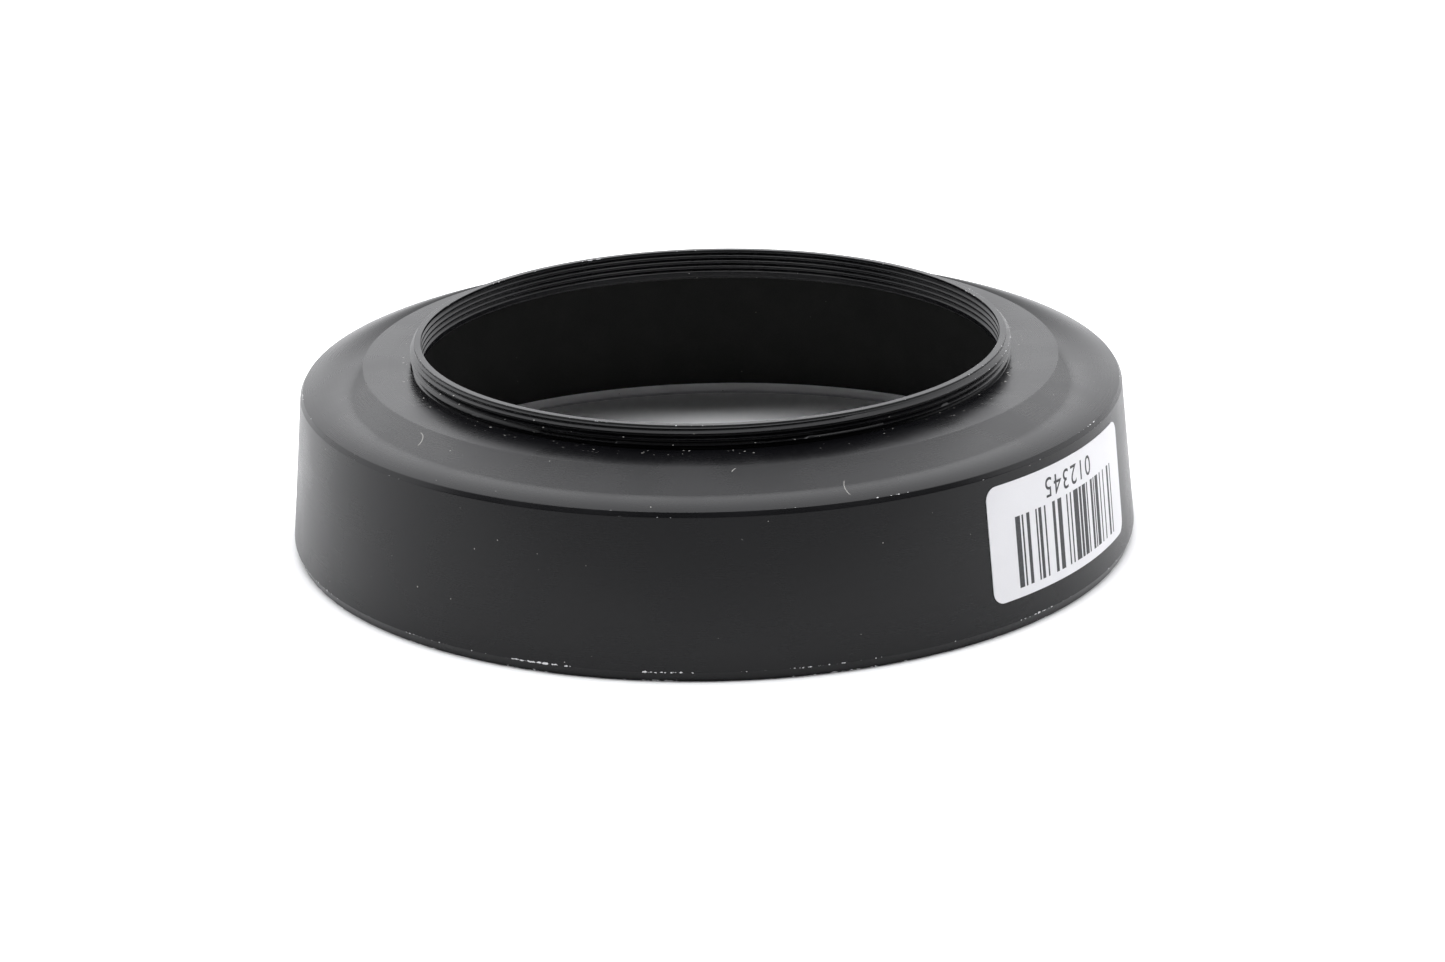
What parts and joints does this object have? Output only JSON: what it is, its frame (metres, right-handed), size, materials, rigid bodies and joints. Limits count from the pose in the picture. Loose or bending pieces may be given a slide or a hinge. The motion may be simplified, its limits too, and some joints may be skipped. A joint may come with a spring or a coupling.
{
  "type": "lens hood",
  "caption": "Screw-in wide-angle metal lens hood: flared round shell, flanged mount ring with a fine male lens thread, grooved bore, matte inner sleeve and a plain stock label.",
  "frame": {"origin": "centre of the front rim plane, on the optical axis", "axes": "+Z along the optical axis from the front rim towards the lens thread; the stock label's centre is about 36 degrees from +X towards -Y"},
  "size_m": [0.109, 0.109, 0.026],
  "materials": {
    "shell": "satin black anodised, bare metal at the inner lip",
    "ring": "satin black anodised",
    "lining": "deep matte black light-absorbing",
    "label": null
  },
  "bodies": {
    "root": {"hood_shell": "shell", "mount_ring": "ring", "matte_lining": "lining", "stock_label": "label"}
  },
  "joints": []
}
